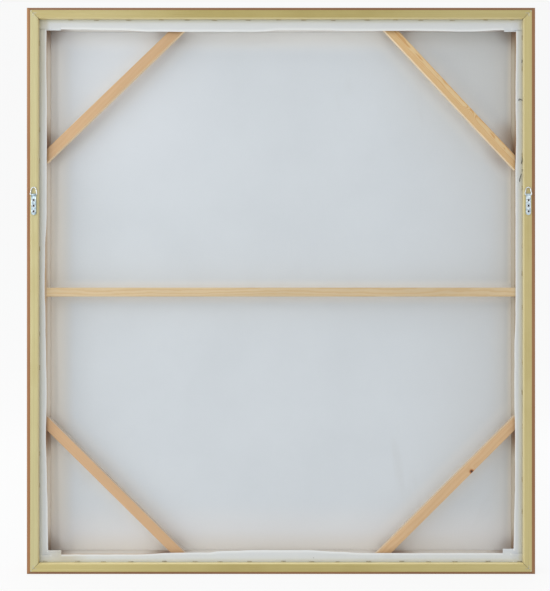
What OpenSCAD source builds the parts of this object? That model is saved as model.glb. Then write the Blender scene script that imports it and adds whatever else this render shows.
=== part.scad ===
// Stretched canvas in a float frame with two strap hangers. Millimetres.
// +Z is up, the hanging side faces -Y and the painted side faces +Y.
// The origin is the middle of the frame's underside.

/* [Frame] */
// Width of the frame over its facings
frame_w = 1018; // [700:1:1400]
// Height of the frame over its facings
frame_h = 1134; // [800:1:1600]
// Depth of the frame from back to front
frame_d = 55; // [54:1:80]
// Thickness of the two side facings
facing_side_t = 7.2; // [4:0.1:9]
// Thickness of the top and bottom facings
facing_end_t = 5.2; // [4:0.1:9]
// Radius of a facing's rounded back edge
facing_round = 2.8; // [0.5:0.1:3.5]
// Thickness of the rail's wall round the canvas
rail_wall_t = 5; // [4:0.1:8]
// Width of the rail's back face, from the facing to the opening
ledge_w = 15.4; // [13:0.1:16]
// Thickness of the ledge that the canvas sits on
ledge_t = 12; // [10:0.5:14]
// Chamfer on the ledge's inner back edge
ledge_chamfer = 0.4; // [0.2:0.1:2.5]
// Gap between the canvas's sides and the rail's wall
float_gap = 4.5; // [2:0.1:6]

/* [Stretcher] */
// Width of a stretcher bar across its back face
bar_w = 17.5; // [17.5:0.5:30]
// Depth of a stretcher bar from back to front
bar_d = 37; // [32:0.5:37]
// Width of the raised bead along a bar's front outer edge
bead_w = 5; // [4:0.5:8]
// Height of that bead over the rest of the bar's front
bead_h = 0.5; // [0.5:0.5:5]
// Height of the crossbar across its back face
crossbar_w = 18; // [12:0.5:30]
// Depth of the crossbar
crossbar_d = 16; // [12:0.5:24]
// How far the crossbar lies below the middle of the frame
crossbar_drop = 2.4; // [0:0.1:50]
// How far the crossbar's back is set in from the bars' backs
crossbar_inset = 1.5; // [0:0.5:5]
// Width of a corner brace across its back face
brace_w = 20.5; // [12:0.5:28]
// Depth of a corner brace
brace_d = 11; // [10:0.5:20]
// How far the braces' backs are set in from the bars' backs
brace_inset = 7; // [1:0.5:9]
// Reach of the top left brace down the side bar and along the top bar
reach_top_left = [260.5, 270.5]; // [150:0.5:300]
// Reach of the top right brace down the side bar and along the top bar
reach_top_right = [274.5, 257]; // [150:0.5:300]
// Reach of the bottom left brace up the side bar and along the bottom bar
reach_bottom_left = [266, 269]; // [150:0.5:300]
// Reach of the bottom right brace up the side bar and along the bottom bar
reach_bottom_right = [267, 268.5]; // [150:0.5:300]

/* [Canvas] */
// Thickness of the primed canvas
canvas_t = 0.8; // [0.5:0.1:1]
// Width of the flaps turned over the side bars, from the canvas's outer side
flap_side = 19.3; // [15:0.1:20]
// Width of the flaps turned over the top and bottom bars
flap_end = 28; // [15:0.1:32]
// Thickness of the double-sided tape between ledge and canvas
tape_t = 0.6; // [0.5:0.1:1]
// Length of a staple's crown
staple_crown = 10; // [6:0.5:12]
// Length of a staple's legs
staple_leg = 8; // [4:0.5:10]
// Distance from one staple to the next
staple_pitch = 59.4; // [40:0.2:80]
// How far the staples stray from an even row
staple_stray = 6; // [0:0.5:10]
// How far in from the edge of the frame's opening the end bars' staples lie
staple_inset_end = 1.1; // [0:0.1:4]
// How far in the right bar's staples lie
staple_inset_right = 0.2; // [0:0.1:4]
// How far out under the ledge the left bar's staples lie
staple_hide_left = 0.3; // [0:0.1:0.5]
// How far the top bar's row of staples is shifted to the right
staple_shift_top = 20; // [-25:1:25]

/* [Hangers] */
// Height of the rings' hinge axis over the frame's underside
hanger_z = 759; // [450:1:850]
// Width of a hanger's strap
strap_w = 10; // [8:0.5:11]
// Thickness of the doubled strap
strap_t = 2.4; // [2:0.1:3]
// Distance from the ring's axis to the strap's lower end
strap_l = 40.4; // [38:0.2:60]
// Distance from the ring's axis to the first screw
screw_first = 10.8; // [9:0.2:12]
// Distance from one screw to the next
screw_pitch = 11.2; // [9:0.2:11.4]
// Diameter of the rings' wire
wire_d = 2.2; // [1.5:0.1:2.4]
// Height of a ring from its hinge axis to its top
ring_h = 16.2; // [15.5:0.1:20]
// Radius of a ring's round top, to the middle of its wire
ring_top_r = 4.9; // [4:0.1:6]

/* [Hidden] */
$fn = 48;

// Half sizes in plan, measured from the middle of the frame: [along X, along Z]
outer = [frame_w / 2, frame_h / 2];
rail_outer = outer - [facing_side_t, facing_end_t];
wall_inner = rail_outer - [rail_wall_t, rail_wall_t];
opening = rail_outer - [ledge_w, ledge_w];
canvas_outer = wall_inner - [float_gap, float_gap];
bar_outer = canvas_outer - [canvas_t, canvas_t];
bar_inner = bar_outer - [bar_w, bar_w];

// Heights and depths
middle_z = frame_h / 2;
back_y = -frame_d / 2;
ledge_front_y = back_y + ledge_t;
flap_back_y = ledge_front_y + tape_t;
bar_back_y = flap_back_y + canvas_t;
bar_front_y = bar_back_y + bar_d;
brace_back_y = bar_back_y + brace_inset;
crossbar_back_y = bar_back_y + crossbar_inset;

// Fixings
tape_w = 3.2;
v_nail_leg = 7;
v_nail_t = 0.7;
v_nail_depth = 9;
v_nail_in = 5.5;
spline_l = 15;
spline_w = 8;
spline_t = 4;
spline_y = bar_back_y + bar_d / 2;
nail_r = 1.1;
nail_head_r = 2.6;
nail_head_t = 1.2;
brace_nail_l = bar_w + 16;
brace_nail_shift = 6;
crossbar_nail_l = bar_w + 25;
crossbar_nail_gap = 10;
staple_wire = [1.2, 0.5];
top_staples = 16;
bottom_staples = 17;
side_staples = 18;

// Hangers
hanger_x = (rail_outer[0] + opening[0]) / 2;
axis_y = back_y - strap_t;
wire_r = wire_d / 2;
straight_r = wire_r - 0.01;
seat = 0.1;
bore_r = wire_r + 0.04;
eye_r = strap_t;
eye_w = strap_w - 0.6;
neck_l = 3.4;
ring_bend_r = 1.6;
ring_bar = eye_w / 2 + 0.1;
ring_lean = 4;
screw_r = 1.5;
screw_hole_r = 1.8;
screw_head_r = 3.1;
screw_head_h = 1.7;
screw_l = 11;
screw_slot = [3.4, 0.7, 0.9];

// The left and right sides stand upright, and each side is the bottom one turned about Y
function upright(side) = side == "left" || side == "right";
function turn(side) = side == "bottom" ? 0 : side == "left" ? 90 : side == "top" ? 180 : -90;

// Puts a plan drawn in X and Z, thick along Y, at a depth
module plan(y, thickness) {
    translate([0, y + thickness, middle_z])
    rotate([90, 0, 0])
    linear_extrude(thickness)
    children();
}

// The plan of one mitred side between two rectangles of half sizes a, outside, and b, inside
module mitre_plan(side, a, b) {
    if (side == "top") polygon([[-a[0], a[1]], [a[0], a[1]], [b[0], b[1]], [-b[0], b[1]]]);
    if (side == "bottom") polygon([[-a[0], -a[1]], [a[0], -a[1]], [b[0], -b[1]], [-b[0], -b[1]]]);
    if (side == "left") polygon([[-a[0], -a[1]], [-a[0], a[1]], [-b[0], b[1]], [-b[0], -b[1]]]);
    if (side == "right") polygon([[a[0], -a[1]], [a[0], a[1]], [b[0], b[1]], [b[0], -b[1]]]);
}

// Runs a section along one side of a rectangle of half sizes a. In the section, x goes
// inward from the side and y goes from the frame's back to its front
module run_along(side, a) {
    run = 2 * max(a) + 2;
    translate([0, back_y, middle_z])
    rotate([0, turn(side), 0])
    translate([0, 0, upright(side) ? -a[0] : -a[1]])
    rotate([0, -90, 0])
    translate([0, 0, -run / 2])
    linear_extrude(run)
    children();
}

// Cuts what run_along makes to its mitres
module mitred(side, a, b) {
    intersection() {
        run_along(side, a) children();
        plan(back_y - 1, frame_d + 2) mitre_plan(side, a, b);
    }
}

module rail_section() {
    polygon([
        [0, 0],
        [ledge_w - ledge_chamfer, 0],
        [ledge_w, ledge_chamfer],
        [ledge_w, ledge_t],
        [rail_wall_t, ledge_t],
        [rail_wall_t, frame_d - 0.8],
        [rail_wall_t - 0.8, frame_d],
        [0, frame_d]
    ]);
}

module v_nail_plan() {
    square([v_nail_leg, v_nail_t]);
    square([v_nail_t, v_nail_leg]);
}

// The four V-nails, each with its apex towards its corner and flush with the rails' backs
module v_nails() {
    plan(back_y, v_nail_depth)
    for (sx = [-1, 1], sz = [-1, 1])
        translate([sx * (rail_outer[0] - v_nail_in), sz * (rail_outer[1] - v_nail_in)])
        scale([-sx, -sz])
        v_nail_plan();
}

module frame_rail(side) {
    color("darkkhaki")
    difference() {
        mitred(side, rail_outer, opening) rail_section();
        v_nails();
    }
}

module facing_section(t) {
    difference() {
        square([t, frame_d]);
        square([facing_round, facing_round]);
    }
    translate([facing_round, facing_round])
    intersection() {
        circle(facing_round);
        translate([-facing_round, -facing_round]) square(facing_round);
    }
}

module frame_facing(side) {
    t = upright(side) ? facing_side_t : facing_end_t;
    color("peru") mitred(side, outer, rail_outer) facing_section(t);
}

module frame_v_nails() {
    color("silver") v_nails();
}

function brace_reach(corner) =
    corner == [-1, 1] ? reach_top_left :
    corner == [1, 1] ? reach_top_right :
    corner == [-1, -1] ? reach_bottom_left : reach_bottom_right;

module spline_plan(corner) {
    translate([
        corner[0] * (bar_outer[0] + bar_inner[0]) / 2,
        corner[1] * (bar_outer[1] + bar_inner[1]) / 2
    ])
    rotate(-45 * corner[0] * corner[1])
    square([spline_l, spline_w], center = true);
}

module stretcher_splines() {
    color("burlywood")
    plan(spline_y - spline_t / 2, spline_t)
    for (sx = [-1, 1], sz = [-1, 1]) spline_plan([sx, sz]);
}

module bar_section() {
    translate([0, bar_back_y - back_y])
    polygon([
        [0, 0],
        [bar_w, 0],
        [bar_w, bar_d - bead_h],
        [bead_w + 2, bar_d - bead_h],
        [bead_w, bar_d - bead_h / 2],
        [bead_w - 1, bar_d],
        [1, bar_d],
        [0, bar_d - 1]
    ]);
}

module stretcher_bar(side) {
    color("burlywood")
    difference() {
        mitred(side, bar_outer, bar_inner) bar_section();
        plan(spline_y - spline_t / 2, spline_t)
        for (sx = [-1, 1], sz = [-1, 1]) spline_plan([sx, sz]);
    }
}

module crossbar() {
    color("wheat")
    plan(crossbar_back_y, crossbar_d)
    translate([-bar_inner[0], -crossbar_drop - crossbar_w / 2])
    square([2 * bar_inner[0], crossbar_w]);
}

// A brace runs between two bars, and its ends are cut flush with the bars' inner faces
module brace(corner) {
    reach = brace_reach(corner);
    side_end = [corner[0] * bar_inner[0], corner[1] * (bar_inner[1] - reach[0])];
    bar_end = [corner[0] * (bar_inner[0] - reach[1]), corner[1] * bar_inner[1]];
    line = bar_end - side_end;
    color("tan")
    plan(brace_back_y, brace_d)
    intersection() {
        translate((side_end + bar_end) / 2)
        rotate(atan2(line[1], line[0]))
        square([norm(line) + 4 * brace_w, brace_w], center = true);
        square(2 * bar_inner, center = true);
    }
}

// A nail along -Z with its head's top at the origin
module nail(length) {
    translate([0, 0, -length]) cylinder(r = nail_r, h = length - nail_head_t / 2);
    translate([0, 0, -nail_head_t]) cylinder(r = nail_head_r, h = nail_head_t);
}

module brace_nails() {
    y = brace_back_y + brace_d / 2;
    color("dimgray")
    for (sx = [-1, 1], sz = [-1, 1]) {
        reach = brace_reach([sx, sz]);
        translate([sx * bar_outer[0], y, middle_z + sz * (bar_inner[1] - reach[0] + brace_nail_shift)])
        rotate([0, 90 * sx, 0])
        nail(brace_nail_l);
        translate([sx * (bar_inner[0] - reach[1] + brace_nail_shift), y, middle_z + sz * bar_outer[1]])
        rotate([0, 90 - 90 * sz, 0])
        nail(brace_nail_l);
    }
}

module crossbar_nails() {
    y = crossbar_back_y + crossbar_d / 2;
    color("dimgray")
    for (sx = [-1, 1], sy = [-0.5, 0.5])
        translate([sx * bar_outer[0], y + sy * crossbar_nail_gap, middle_z - crossbar_drop])
        rotate([0, 90 * sx, 0])
        nail(crossbar_nail_l);
}

module canvas() {
    color("white")
    difference() {
        plan(flap_back_y, bar_front_y + canvas_t - flap_back_y)
        square(2 * canvas_outer, center = true);
        plan(bar_back_y, bar_d) square(2 * bar_outer, center = true);
        plan(flap_back_y - 1, canvas_t + 2)
        square(2 * (canvas_outer - [flap_side, flap_end]), center = true);
    }
}

// One staple on the bottom bar, its crown on the flap and its legs in the wood
module staple() {
    translate([-staple_crown / 2, -staple_wire[1], -staple_wire[0] / 2])
    cube([staple_crown, staple_wire[1], staple_wire[0]]);
    for (x = [-staple_crown / 2, staple_crown / 2 - staple_wire[1]])
        translate([x, -staple_wire[1] / 2, -staple_wire[0] / 2])
        cube([staple_wire[1], staple_leg, staple_wire[0]]);
}

// How far staple i strays from its even place, from -1 to 1
function stray(i, seed) = sin(i * 97 + seed);

module canvas_staples() {
    color("slategray")
    for (side = ["top", "bottom", "left", "right"]) {
        count = upright(side) ? side_staples : side == "top" ? top_staples : bottom_staples;
        shift = side == "top" ? -staple_shift_top : 0;
        inset = side == "left" ? -staple_hide_left :
            side == "right" ? staple_inset_right : staple_inset_end;
        reach = (upright(side) ? opening[0] : opening[1]) - inset;
        for (i = [0 : count - 1])
            translate([0, flap_back_y, middle_z])
            rotate([0, turn(side), 0])
            translate([
                (i - (count - 1) / 2) * staple_pitch + staple_stray * stray(i, turn(side)) + shift,
                0,
                -reach + 0.6 * stray(i, turn(side) + 40)
            ])
            rotate([0, 7 * stray(i, turn(side) + 80), 0])
            staple();
    }
}

module mounting_tape() {
    outer_edge = canvas_outer - [0.4, 0.4];
    color("ivory")
    plan(ledge_front_y, tape_t)
    difference() {
        square(2 * outer_edge, center = true);
        square(2 * (outer_edge - [tape_w, tape_w]), center = true);
    }
}

// Parts of a hanger are drawn round its hinge axis, with the rail's back at y = strap_t
module at_hanger(sx) {
    translate([sx * hanger_x, axis_y, hanger_z]) children();
}

module hanger_strap(sx) {
    color("lightsteelblue")
    at_hanger(sx)
    difference() {
        union() {
            rotate([0, 90, 0]) cylinder(r = eye_r, h = eye_w, center = true);
            translate([-eye_w / 2, 0, -neck_l - 1]) cube([eye_w, strap_t, neck_l + 1]);
            translate([-strap_w / 2, 0, strap_w / 2 - strap_l])
            cube([strap_w, strap_t, strap_l - strap_w / 2 - neck_l]);
            translate([0, 0, strap_w / 2 - strap_l])
            rotate([-90, 0, 0])
            cylinder(r = strap_w / 2, h = strap_t);
        }
        rotate([0, 90, 0]) cylinder(r = bore_r, h = strap_w + 2, center = true);
        for (i = [0 : 2])
            translate([0, -1, -screw_first - i * screw_pitch])
            rotate([-90, 0, 0])
            cylinder(r = screw_hole_r, h = strap_t + 2);
    }
}

module hanger_screws(sx) {
    color("gainsboro")
    at_hanger(sx)
    for (i = [0 : 2])
        translate([0, 0, -screw_first - i * screw_pitch])
        rotate([90, 30 * i + 15, 0])
        difference() {
            union() {
                translate([0, 0, -screw_l]) cylinder(r = screw_r, h = screw_l + 0.2);
                intersection() {
                    cylinder(r = screw_head_r, h = screw_head_h);
                    translate([0, 0, screw_head_h - 1.3 * screw_head_r])
                    sphere(1.3 * screw_head_r);
                }
            }
            for (a = [0, 90])
                rotate(a)
                translate([-screw_slot[0] / 2, -screw_slot[1] / 2, screw_head_h - screw_slot[2]])
                cube([screw_slot[0], screw_slot[1], screw_slot[2] + 1]);
        }
}

// A bend of the ring's wire in the X-Z plane, from angle a0 to a1 about its middle
module bend(radius, a0, a1) {
    rotate([90, 0, 0])
    rotate(a0)
    rotate_extrude(angle = a1 - a0)
    translate([radius, 0])
    circle(wire_r);
}

// A straight length of the wire in the X-Z plane between two points. It is a hair thinner
// than the bends and its ends are seated in them
module wire(from, to) {
    line = to - from;
    translate([from[0], 0, from[1]])
    rotate([0, 90 - atan2(line[1], line[0]), 0])
    translate([0, 0, -seat])
    cylinder(r = straight_r, h = norm(line) + 2 * seat);
}

// The ring's outline is a bar, two small bends and a round top, with straight legs that
// touch both bends and top. lean is the direction square to the right leg
module hanger_ring(sx) {
    low = [ring_bar, ring_bend_r];
    high = [0, ring_h - wire_r - ring_top_r];
    line = high - low;
    lean = atan2(line[1], line[0]) - acos((ring_bend_r - ring_top_r) / norm(line));
    square_to_leg = [cos(lean), sin(lean)];
    color("gainsboro")
    at_hanger(sx)
    rotate([-ring_lean, 0, 0])
    union() {
        wire([-ring_bar, 0], [ring_bar, 0]);
        translate([high[0], 0, high[1]]) bend(ring_top_r, lean, 180 - lean);
        for (flip = [0, 1])
            mirror([flip, 0, 0]) {
                translate([low[0], 0, low[1]]) bend(ring_bend_r, -90, lean);
                wire(low + ring_bend_r * square_to_leg, high + ring_top_r * square_to_leg);
            }
    }
}

frame_rail("top");  // frame_rail_top
frame_rail("bottom");  // frame_rail_bottom
frame_rail("left");  // frame_rail_left
frame_rail("right");  // frame_rail_right
frame_facing("top");  // frame_facing_top
frame_facing("bottom");  // frame_facing_bottom
frame_facing("left");  // frame_facing_left
frame_facing("right");  // frame_facing_right
frame_v_nails();
stretcher_bar("top");  // stretcher_bar_top
stretcher_bar("bottom");  // stretcher_bar_bottom
stretcher_bar("left");  // stretcher_bar_left
stretcher_bar("right");  // stretcher_bar_right
stretcher_splines();
crossbar();
brace([-1, 1]);  // brace_top_left
brace([1, 1]);  // brace_top_right
brace([-1, -1]);  // brace_bottom_left
brace([1, -1]);  // brace_bottom_right
brace_nails();
crossbar_nails();
canvas();
canvas_staples();
mounting_tape();
hanger_strap(-1);  // hanger_strap_left
hanger_strap(1);  // hanger_strap_right
hanger_ring(-1);  // hanger_ring_left
hanger_ring(1);  // hanger_ring_right
hanger_screws(-1);  // hanger_screws_left
hanger_screws(1);  // hanger_screws_right
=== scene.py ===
import math

import bmesh
import bpy
from mathutils import Matrix, Vector, noise


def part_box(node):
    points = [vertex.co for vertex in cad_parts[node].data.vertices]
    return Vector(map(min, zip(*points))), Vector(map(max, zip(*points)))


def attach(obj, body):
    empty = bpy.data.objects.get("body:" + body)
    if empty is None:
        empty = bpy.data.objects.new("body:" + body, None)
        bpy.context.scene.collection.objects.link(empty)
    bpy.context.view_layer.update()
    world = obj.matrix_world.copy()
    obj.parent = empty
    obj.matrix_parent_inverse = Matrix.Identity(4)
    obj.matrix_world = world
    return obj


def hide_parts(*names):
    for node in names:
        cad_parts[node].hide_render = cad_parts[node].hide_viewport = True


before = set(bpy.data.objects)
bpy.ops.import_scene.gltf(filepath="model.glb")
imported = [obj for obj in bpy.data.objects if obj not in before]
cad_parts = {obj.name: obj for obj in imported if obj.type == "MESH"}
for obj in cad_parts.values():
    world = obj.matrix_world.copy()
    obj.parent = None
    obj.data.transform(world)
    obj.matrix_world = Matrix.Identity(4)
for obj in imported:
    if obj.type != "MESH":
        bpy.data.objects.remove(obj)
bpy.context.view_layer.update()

# ---------------------------------------------------------------------------------------------
# Sizes, in metres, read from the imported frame
# ---------------------------------------------------------------------------------------------
MM = 0.001
FRAME_LOW, FRAME_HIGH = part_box("frame_facing_left")[0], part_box("frame_facing_right")[1]
BACK_Y = FRAME_LOW.y
MIDDLE_Z = (FRAME_LOW.z + FRAME_HIGH.z) / 2
CANVAS_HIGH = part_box("canvas")[1]
LEDGE_HALF_X = -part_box("frame_rail_left")[1].x
LEDGE_HALF_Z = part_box("frame_rail_top")[0].z - MIDDLE_Z
BAR_BACK_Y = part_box("stretcher_bar_left")[0].y
BAR_INNER_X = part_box("stretcher_bar_right")[0].x
BAR_INNER_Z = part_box("stretcher_bar_top")[0].z - MIDDLE_Z
CLOTH_T = 0.4 * MM
CLOTH_BEND = 1.2 * MM
CLOTH_X = CANVAS_HIGH.x
CLOTH_Z = CANVAS_HIGH.z - MIDDLE_Z
CLOTH_FRONT_Y = CANVAS_HIGH.y
FLAP_Y = BAR_BACK_Y - CLOTH_T
RAIL_HALF_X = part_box("frame_rail_right")[1].x
RAIL_HALF_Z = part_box("frame_rail_top")[1].z - MIDDLE_Z
CROSSBAR_Z = (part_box("crossbar")[0].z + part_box("crossbar")[1].z) / 2
BRACE_BACK_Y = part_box("brace_bottom_right")[0].y
RAIL_SIDES = ("top", "bottom", "left", "right")
# The frame's corners as signs along X and Z
CORNERS = ((-1, 1), (1, 1), (-1, -1), (1, -1))


# ---------------------------------------------------------------------------------------------
# Camera: square to the frame's back, at the height of its middle
# ---------------------------------------------------------------------------------------------
PHOTO_W, PHOTO_H = 550, 591
CAMERA_DISTANCE = 1.64
METRES_PER_DOT = 0.002      # in the plane of the frame's back
SENSOR = 36.0
# How far the frame's middle lies to the right of the picture's middle and above it
OFF_MIDDLE_X = 12.0 * MM
OFF_MIDDLE_Z = 9.2 * MM


def make_camera():
    data = bpy.data.cameras.new("camera")
    data.sensor_width = SENSOR
    picture_height = METRES_PER_DOT * max(PHOTO_W, PHOTO_H)
    data.lens = SENSOR * CAMERA_DISTANCE / picture_height
    data.shift_x = -OFF_MIDDLE_X / picture_height
    data.shift_y = -OFF_MIDDLE_Z / picture_height
    data.clip_start, data.clip_end = 0.05, 50
    camera = bpy.data.objects.new("camera", data)
    camera.location = (0, BACK_Y - CAMERA_DISTANCE, MIDDLE_Z)
    camera.rotation_euler = (math.radians(90), 0, 0)
    bpy.context.scene.collection.objects.link(camera)
    bpy.context.scene.camera = camera


def islands(node):
    """The middle and the size of each separate solid in a CAD node."""
    bm = bmesh.new()
    bm.from_mesh(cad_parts[node].data)
    bmesh.ops.remove_doubles(bm, verts=bm.verts, dist=0.00001)
    left, found = set(bm.verts), []
    while left:
        group, edge = set(), [left.pop()]
        while edge:
            v = edge.pop()
            group.add(v)
            for e in v.link_edges:
                other = e.other_vert(v)
                if other in left:
                    left.discard(other)
                    edge.append(other)
        low = Vector(min(v.co[i] for v in group) for i in range(3))
        high = Vector(max(v.co[i] for v in group) for i in range(3))
        found.append(((low + high) / 2, high - low))
    bm.free()
    return sorted(found, key=lambda part: tuple(part[0]))


# ---------------------------------------------------------------------------------------------
# Materials: small helpers round Blender's node trees
# ---------------------------------------------------------------------------------------------
def tint(r, g, b):
    """A display colour, 0 to 255 a channel, as the linear colour that shaders use."""
    def linear(c):
        c /= 255
        return c / 12.92 if c <= 0.04045 else ((c + 0.055) / 1.055) ** 2.4
    return (linear(r), linear(g), linear(b), 1.0)


class Shader:
    """A material whose nodes are made and joined by short calls."""

    def __init__(self, name, roughness=0.5, metallic=0.0, specular=0.5):
        self.material = bpy.data.materials.new(name)
        self.material.use_nodes = True
        self.tree = self.material.node_tree
        self.tree.nodes.clear()
        self.surface = self.add("ShaderNodeBsdfPrincipled")
        self.surface.inputs["Roughness"].default_value = roughness
        self.surface.inputs["Metallic"].default_value = metallic
        self.surface.inputs["Specular IOR Level"].default_value = specular
        output = self.add("ShaderNodeOutputMaterial")
        self.tree.links.new(self.surface.outputs["BSDF"], output.inputs["Surface"])
        self.place = self.add("ShaderNodeTexCoord").outputs["Object"]

    def add(self, kind, **values):
        made = self.tree.nodes.new(kind)
        for key, value in values.items():
            setattr(made, key, value)
        return made

    def put(self, socket, value):
        if isinstance(value, bpy.types.NodeSocket):
            self.tree.links.new(value, socket)
        else:
            socket.default_value = value

    def moved(self, vector, offset=(0, 0, 0), turn=(0, 0, 0), scale=(1, 1, 1)):
        """The vector turned, then scaled, then shifted by the offset."""
        turned = self.add("ShaderNodeMapping")
        self.put(turned.inputs["Vector"], vector)
        turned.inputs["Rotation"].default_value = turn
        sized = self.add("ShaderNodeMapping")
        self.put(sized.inputs["Vector"], turned.outputs["Vector"])
        sized.inputs["Scale"].default_value = scale
        sized.inputs["Location"].default_value = offset
        return sized.outputs["Vector"]

    def noise(self, vector, scale, detail=3.0, rough=0.5, warp=0.0):
        made = self.add("ShaderNodeTexNoise")
        self.put(made.inputs["Vector"], vector)
        made.inputs["Scale"].default_value = scale
        made.inputs["Detail"].default_value = detail
        made.inputs["Roughness"].default_value = rough
        made.inputs["Distortion"].default_value = warp
        return made.outputs["Fac"]

    def math(self, kind, a, b=0.0):
        made = self.add("ShaderNodeMath", operation=kind)
        self.put(made.inputs[0], a)
        self.put(made.inputs[1], b)
        return made.outputs[0]

    def plus(self, a, b):
        return self.math("ADD", a, b)

    def minus(self, a, b):
        return self.math("SUBTRACT", a, b)

    def times(self, a, b):
        return self.math("MULTIPLY", a, b)

    def size(self, a):
        return self.math("ABSOLUTE", a)

    def length(self, a, b):
        return self.math("SQRT", self.plus(self.times(a, a), self.times(b, b)))

    def span(self, value, low, high, to_low=0.0, to_high=1.0):
        """The value's stretch from low to high, mapped smoothly and held at its ends."""
        made = self.add("ShaderNodeMapRange", interpolation_type="SMOOTHSTEP")
        self.put(made.inputs["Value"], value)
        made.inputs["From Min"].default_value = low
        made.inputs["From Max"].default_value = high
        made.inputs["To Min"].default_value = to_low
        made.inputs["To Max"].default_value = to_high
        return made.outputs["Result"]

    def split(self, vector):
        made = self.add("ShaderNodeSeparateXYZ")
        self.put(made.inputs[0], vector)
        return made.outputs

    def blend(self, share, a, b):
        made = self.add("ShaderNodeMix", data_type="RGBA")
        self.put(made.inputs["Factor"], share)
        self.put(made.inputs[6], a)
        self.put(made.inputs[7], b)
        return made.outputs[2]

    def near(self, point, radius):
        """1 at a point, falling smoothly to 0 at a radius round it."""
        away = self.add("ShaderNodeVectorMath", operation="DISTANCE")
        self.put(away.inputs[0], self.place)
        away.inputs[1].default_value = point
        return self.span(away.outputs["Value"], 0.0, radius, 1.0, 0.0)

    def bump(self, height, distance, strength=1.0, under=None):
        made = self.add("ShaderNodeBump")
        self.put(made.inputs["Height"], height)
        made.inputs["Distance"].default_value = distance
        made.inputs["Strength"].default_value = strength
        if under is not None:
            self.put(made.inputs["Normal"], under)
        return made.outputs["Normal"]

    def colour(self, value):
        self.put(self.surface.inputs["Base Color"], value)

    def roughness(self, value):
        self.put(self.surface.inputs["Roughness"], value)

    def normal(self, value):
        self.put(self.surface.inputs["Normal"], value)


def corner_spot(s, half_x, half_z):
    """How far a point lies along X and Z from the nearest corner of a rectangle of these half
    sizes, seen square on."""
    x, _, z = s.split(s.place)
    return s.minus(s.size(x), half_x), s.minus(s.size(s.minus(z, MIDDLE_Z)), half_z)


def along_scale(axis, along, across):
    """A texture scale that is low along one axis and high across it."""
    return tuple(along if i == "XYZ".index(axis) else across for i in range(3))


def gold_material(side, pale, deep, ends_sheen, wall_highlight):
    """Satin gold-ochre lacquer brushed along the rail, with a painted sheen that makes it paler towards
    the rail's ends and a painted highlight on its inner wall."""
    axis = "X" if side in ("top", "bottom") else "Z"
    s = Shader("gold_lacquer_" + side, roughness=0.4, specular=0.6)
    streak = s.noise(s.moved(s.place, scale=along_scale(axis, 6, 420)), 1.0, 4, 0.6)
    cloud = s.noise(s.place, 14, 4, 0.55)
    grit = s.noise(s.place, 900, 2, 0.7)
    colour = s.blend(s.span(cloud, 0.3, 0.7), deep, pale)
    place = s.split(s.place)
    along = place[0] if axis == "X" else s.minus(place[2], MIDDLE_Z)
    # Painted sheen: the face grows paler towards the rail's ends
    far = s.span(s.size(along), 0.08, 0.42)
    colour = s.blend(s.times(far, 0.8), colour, ends_sheen)
    colour = s.blend(s.times(s.span(streak, 0.35, 0.75), 0.2), colour, tint(158, 140, 82))
    colour = s.blend(s.times(s.span(grit, 0.6, 0.85), 0.3), colour, tint(218, 207, 160))
    # The walls and chamfered edges, which don't face back or front, get a painted highlight
    facing = s.split(s.add("ShaderNodeNewGeometry").outputs["Normal"])[1]
    wall = s.span(s.size(facing), 0.9, 0.3)
    colour = s.blend(s.times(wall, 0.85), colour, wall_highlight)
    # A dark line at the mitres and a dab of filler at the outermost corners
    dx, dz = corner_spot(s, RAIL_HALF_X, RAIL_HALF_Z)
    off_line = s.size(s.minus(dx, dz))
    seam = s.span(off_line, 0.5 * MM, 1.2 * MM, 1, 0)
    inner = s.span(dx, -8 * MM, -12 * MM, 0.3, 0.65)
    colour = s.blend(s.times(seam, inner), colour, tint(84, 70, 36))
    dab = s.math("SQRT", s.plus(s.math("POWER", s.plus(dx, 1.8 * MM), 2),
                                s.math("POWER", s.plus(dz, 1.8 * MM), 2)))
    colour = s.blend(s.times(s.span(dab, 0.8 * MM, 2.2 * MM, 1, 0), 0.35), colour, tint(214, 226, 214))
    s.colour(colour)
    s.roughness(s.span(streak, 0.3, 0.7, 0.27, 0.38))
    s.normal(s.bump(grit, 0.00008, 0.5, s.bump(streak, 0.00012, 0.6)))
    return s.material


def brown_material(side, pale, deep):
    """Brown-stained facing with fine straight grain, in paler and darker bands."""
    axis = "X" if side in ("top", "bottom") else "Z"
    s = Shader("brown_stain_" + side, roughness=0.38, specular=0.5)
    grain = s.noise(s.moved(s.place, scale=along_scale(axis, 5, 520)), 1.0, 5, 0.65)
    band = s.noise(s.moved(s.place, scale=along_scale(axis, 1.5, 60)), 1.0, 3, 0.5)
    colour = s.blend(s.span(band, 0.3, 0.7), deep, pale)
    colour = s.blend(s.times(s.span(grain, 0.45, 0.7), 0.5), colour, tint(112, 70, 40))
    s.colour(colour)
    s.roughness(s.span(grain, 0.3, 0.7, 0.3, 0.48))
    s.normal(s.bump(grain, 0.00015, 0.6))
    return s.material


def brace_name(corner_x, corner_z):
    return "brace_%s_%s" % ("top" if corner_z > 0 else "bottom", "left" if corner_x < 0 else "right")


def tight_spots():
    """Points in the narrow corners between bars, and between each brace's ends and the bars."""
    spots = []
    depth = BAR_BACK_Y + 14 * MM
    for corner_x, corner_z in CORNERS:
        low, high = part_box(brace_name(corner_x, corner_z))
        end_x = low.x if corner_x > 0 else high.x
        end_z = low.z if corner_z > 0 else high.z
        bar_x, bar_z = corner_x * BAR_INNER_X, MIDDLE_Z + corner_z * BAR_INNER_Z
        spots.append((bar_x, depth, bar_z))
        spots.append((bar_x, depth, end_z + corner_z * 38 * MM))
        spots.append((end_x + corner_x * 38 * MM, depth, bar_z))
    return spots


def near_any(s, points, radius):
    """1 at any of the points, falling to 0 at a radius round it."""
    closest = s.near(points[0], radius)
    for point in points[1:]:
        closest = s.math("MAXIMUM", closest, s.near(point, radius))
    return closest


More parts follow.
